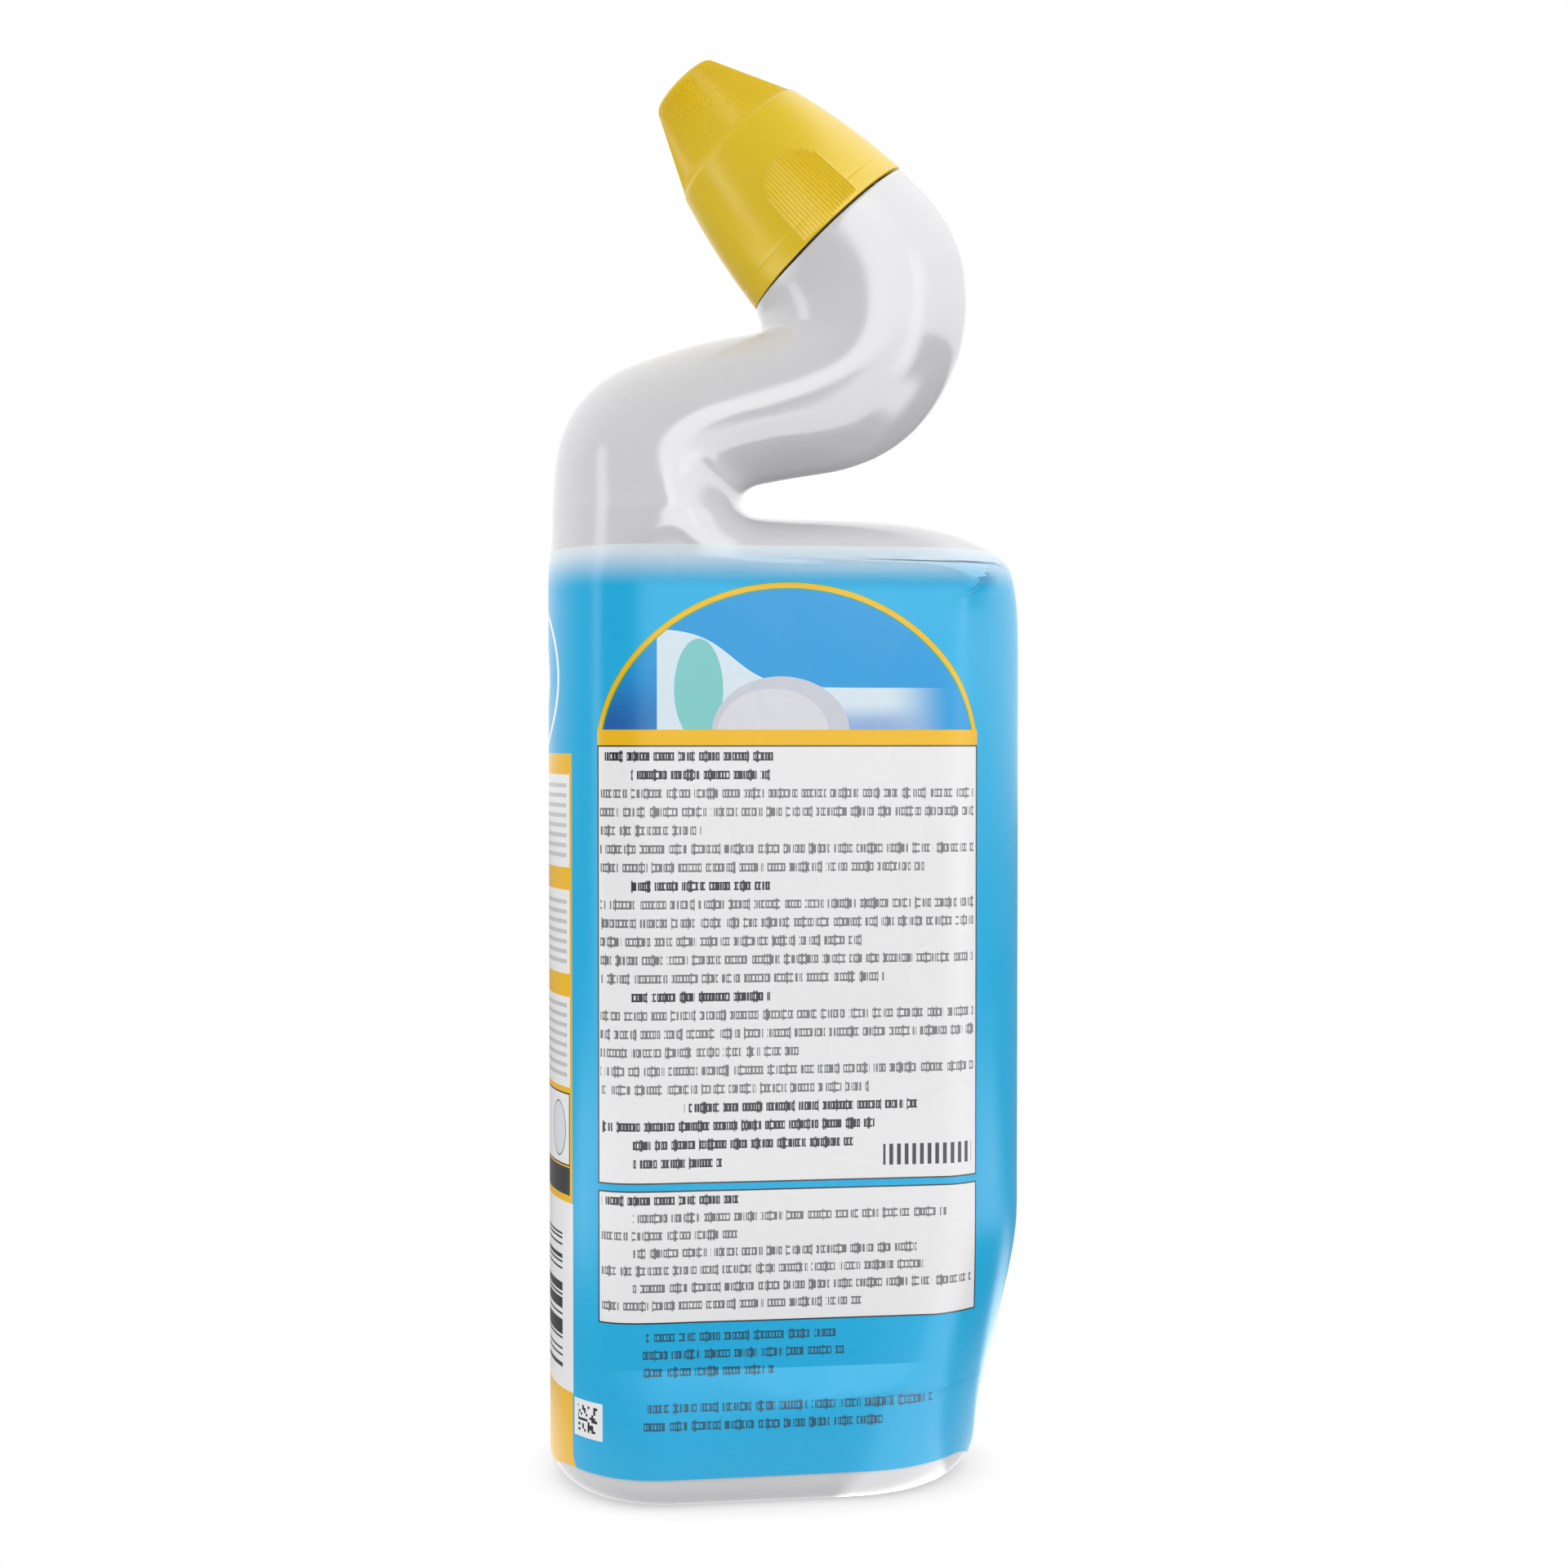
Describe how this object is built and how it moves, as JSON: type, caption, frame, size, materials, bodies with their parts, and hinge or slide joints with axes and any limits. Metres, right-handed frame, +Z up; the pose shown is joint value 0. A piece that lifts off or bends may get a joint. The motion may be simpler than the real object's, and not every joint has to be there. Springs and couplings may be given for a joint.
{
  "type": "toilet cleaner bottle",
  "caption": "Flat-sided plastic squeeze bottle with an angled hook neck, printed shrink sleeve, dosing spout and ribbed squeeze-and-turn screw cap.",
  "frame": {"origin": "centre of the bounding box at the bottom, on the surface the bottle stands on", "axes": "+Z up along the bottle's height, +X along the broad face towards the hooked side under the neck, +Y through the thin way; the neck and cap lean towards -X and +Z"},
  "size_m": [0.093, 0.0558, 0.278],
  "materials": {
    "bottle": "glossy white blow-moulded polyethylene",
    "shrink_sleeve": "printed shrink film, glossy",
    "cleaning_gel": "thick liquid, modelled as a solid fill",
    "nozzle_insert": "natural white polyethylene",
    "cap_liner": "foamed polyethylene",
    "cap": "satin yellow polypropylene"
  },
  "bodies": {
    "bottle": {"bottle": "bottle", "shrink_sleeve": "shrink_sleeve", "cleaning_gel": "cleaning_gel", "nozzle_insert": "nozzle_insert"},
    "liner": {"cap_liner": "cap_liner"},
    "cap": {"cap": "cap"}
  },
  "joints": [
    {"name": "cap_turn", "type": "hinge", "parent": "liner", "child": "cap", "pos_m": [0.00869, 0, 0.24346], "axis": [-0.6904, 0, 0.7234], "range_deg": [0, 450]},
    {"name": "cap_lift", "type": "slide", "parent": "bottle", "child": "liner", "axis": [-0.6904, 0, 0.7234], "range_m": [0, 0.00625]}
  ],
  "couplings": [
    {"joint": "cap_lift", "follows": "cap_turn", "m_per_rad": 0.00079577}
  ]
}
